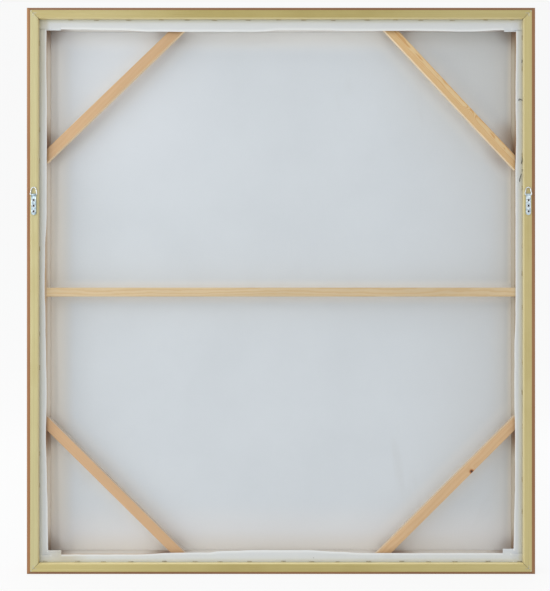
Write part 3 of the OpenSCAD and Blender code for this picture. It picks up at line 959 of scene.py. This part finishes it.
def soft_light(name, place, target, size, power):
    data = bpy.data.lights.new(name, "AREA")
    data.shape = "RECTANGLE"
    data.size, data.size_y = size
    data.energy = power
    obj = bpy.data.objects.new(name, data)
    obj.location = place
    obj.rotation_euler = (Vector(target) - Vector(place)).to_track_quat("-Z", "Y").to_euler()
    bpy.context.scene.collection.objects.link(obj)


def joined(tree, kind, operation, *feeds):
    """A new node with each of its inputs, in order, set to a value or linked to an output."""
    made = tree.nodes.new(kind)
    made.operation = operation
    for feed, entry in zip(feeds, made.inputs):
        if isinstance(feed, tuple):
            entry.default_value = feed
        else:
            tree.links.new(feed, entry)
    return made


def make_studio():
    scene = bpy.context.scene
    scene.view_settings.view_transform = "Standard"
    world = bpy.data.worlds.new("studio")
    world.use_nodes = True
    tree = world.node_tree
    sky = tree.nodes["Background"]
    # A light tent: dimmest straight in front and behind, bright all round the sides, and brightest
    # to the upper left of whoever looks at the frame's back
    direction = tree.nodes.new("ShaderNodeTexCoord").outputs["Generated"]
    sides = joined(tree, "ShaderNodeVectorMath", "DOT_PRODUCT", direction, (0, 1, 0))
    ahead = joined(tree, "ShaderNodeMath", "ABSOLUTE", sides.outputs["Value"])
    tent = tree.nodes.new("ShaderNodeMapRange")
    tree.links.new(ahead.outputs[0], tent.inputs["Value"])
    tent.inputs["To Min"].default_value = 1.10
    tent.inputs["To Max"].default_value = 0.57
    slant = joined(tree, "ShaderNodeVectorMath", "DOT_PRODUCT", direction, (-0.13, 0, 0.05))
    both = joined(tree, "ShaderNodeMath", "ADD", tent.outputs["Result"], slant.outputs["Value"])
    tree.links.new(both.outputs[0], sky.inputs["Strength"])
    sky.inputs["Color"].default_value = (0.99, 1.0, 1.02, 1)
    scene.world = world
    make_backdrop()
    middle = (0, 0, MIDDLE_Z)
    soft_light("window", (-1.3, -2.45, 1.0), middle, (0.4, 2.7), 11)
    soft_light("fill", (1.3, -2.45, 0.9), middle, (0.4, 2.7), 5)
    soft_light("side", (-2.3, -1.1, 0.95), middle, (1.2, 1.6), 15)


# ---------------------------------------------------------------------------------------------
make_camera()

# Each rail's colours: two of its face, its ends' painted sheen and its inner wall's painted highlight.
# The rails' tones are painted light: the faces palest on the left rail and darkest on the top and
# bottom, the walls palest on the bottom rail, which faces up
GOLD_TINTS = {
    "top": ((183, 167, 102), (175, 158, 92), (192, 177, 114), (242, 226, 168)),
    "bottom": ((185, 169, 104), (177, 160, 94), (198, 183, 120), (250, 234, 174)),
    "left": ((206, 196, 140), (199, 187, 129), (206, 198, 146), (228, 211, 158)),
    "right": ((197, 181, 122), (190, 174, 113), (200, 186, 127), (232, 219, 170)),
}
# Each facing's two colours. Their tones are painted light: palest on the left, darkest at the bottom
BROWN_TINTS = {
    "top": ((150, 108, 72), (136, 94, 58)),
    "bottom": ((144, 104, 62), (130, 90, 50)),
    "left": ((180, 131, 84), (163, 113, 69)),
    "right": ((156, 112, 70), (142, 97, 57)),
}
GOLD = {side: gold_material(side, *(tint(*c) for c in GOLD_TINTS[side])) for side in RAIL_SIDES}
BROWN = {side: brown_material(side, *(tint(*c) for c in BROWN_TINTS[side])) for side in RAIL_SIDES}
KNOTS = {
    "top_right": (((0.375, BRACE_BACK_Y, MIDDLE_Z + 0.3546), 0.0055, 0.0),),
    "bottom_right": (((0.386, BRACE_BACK_Y, MIDDLE_Z - 0.3655), 0.0030, 1.0),
                     ((0.379, BRACE_BACK_Y, MIDDLE_Z - 0.3400), 0.0016, 0.6)),
}
TIGHT_SPOTS = tight_spots()
# The braces' flanks are painted light and shade: pale where light falls, darker on the lower braces' upper
# flanks
PINE = {
    "crossbar": pine_material("crossbar", 0, (60, 18), tint(218, 195, 156), tint(198, 166, 118), 0.6),
    "top_left": pine_material("brace_top_left", 45, (190, 60), tint(214, 178, 136), tint(198, 156, 110),
                              0.3, 2.0, 0.28, flanks=(tint(246, 222, 184), tint(250, 226, 190))),
    "top_right": pine_material("brace_top_right", -47, (6, 15), tint(228, 199, 150), tint(202, 150, 86),
                               0.22, 1.2, 0.85, KNOTS["top_right"],
                               flanks=(tint(242, 224, 192), tint(238, 208, 170))),
    "bottom_left": pine_material("brace_bottom_left", -45, (220, 90), tint(216, 178, 136),
                                 tint(198, 156, 112), 0.3, 2.0, 0.28,
                                 flanks=(tint(250, 222, 176), tint(200, 188, 174))),
    "bottom_right": pine_material("brace_bottom_right", 45, (160, -60), tint(222, 186, 142),
                                  tint(200, 158, 110), 0.3, 2.2, 0.35, KNOTS["bottom_right"],
                                  flanks=(tint(250, 222, 176), tint(204, 187, 161))),
}
# The bars' sides are painted light and shade: pale towards the canvas, palest on the top bar, and the side
# bars' inner faces given flank colours, the right one painted dark
BAR_PINE = {
    "top": pine_material("stretcher_bar_top", 0, (50, 90), tint(214, 178, 136), tint(190, 150, 106),
                         sides_painted_light=tint(246, 244, 240)),
    "bottom": pine_material("stretcher_bar_bottom", 0, (50, 90), tint(210, 170, 126), tint(184, 142, 98),
                            sides_painted_light=tint(218, 213, 205)),
    "left": pine_material("stretcher_bar_left", 90, (50, 90), tint(200, 172, 138), tint(180, 148, 112),
                          flanks=(tint(192, 166, 136), tint(192, 166, 136)), sides_painted_light=tint(224, 214, 200)),
    "right": pine_material("stretcher_bar_right", 90, (50, 90), tint(226, 192, 152), tint(198, 160, 116),
                           flanks=(tint(130, 104, 78), tint(130, 104, 78)), sides_painted_light=tint(190, 180, 162)),
}
CLOTH = canvas_material()
# The straps' two tones are painted light and shade on one zinc plate: the left strap painted darker, the
# right one paler
ZINC = {
    "left": metal_material("zinc_plate_left", tint(196, 212, 218), tint(138, 158, 168), 0.36, 260),
    "right": metal_material("zinc_plate_right", tint(228, 238, 242), tint(172, 192, 202), 0.36, 260),
}
RING = metal_material("ring_wire", tint(236, 240, 240), tint(190, 198, 202), 0.22)
SCREW = {side: screw_material(side) for side in ("left", "right")}
STEEL = metal_material("dull_steel", tint(196, 188, 164), tint(150, 140, 116), 0.34)
V_STEEL = metal_material("v_nail_steel", tint(205, 208, 205), tint(150, 152, 148), 0.35)

make_frame()
make_stretcher()
sheet = make_cloth()
folds = make_corner_folds()
make_staples()
make_threads()
paint_cad("frame_v_nails", V_STEEL)
paint_cad("brace_nails", STEEL)
paint_cad("crossbar_nails", STEEL)
paint_cad("stretcher_splines", PINE["crossbar"])
paint_cad("mounting_tape", tape_material())
for side in ("left", "right"):
    strap = softened("hanger_strap_" + side, "zinc_strap_" + side, 0.3 * MM, 2, 40)
    finish_piece(strap, "frame", "zinc_steel", ZINC[side], "hanger_strap_" + side)
    paint_cad("hanger_ring_" + side, RING)
    make_screws(side)
make_studio()
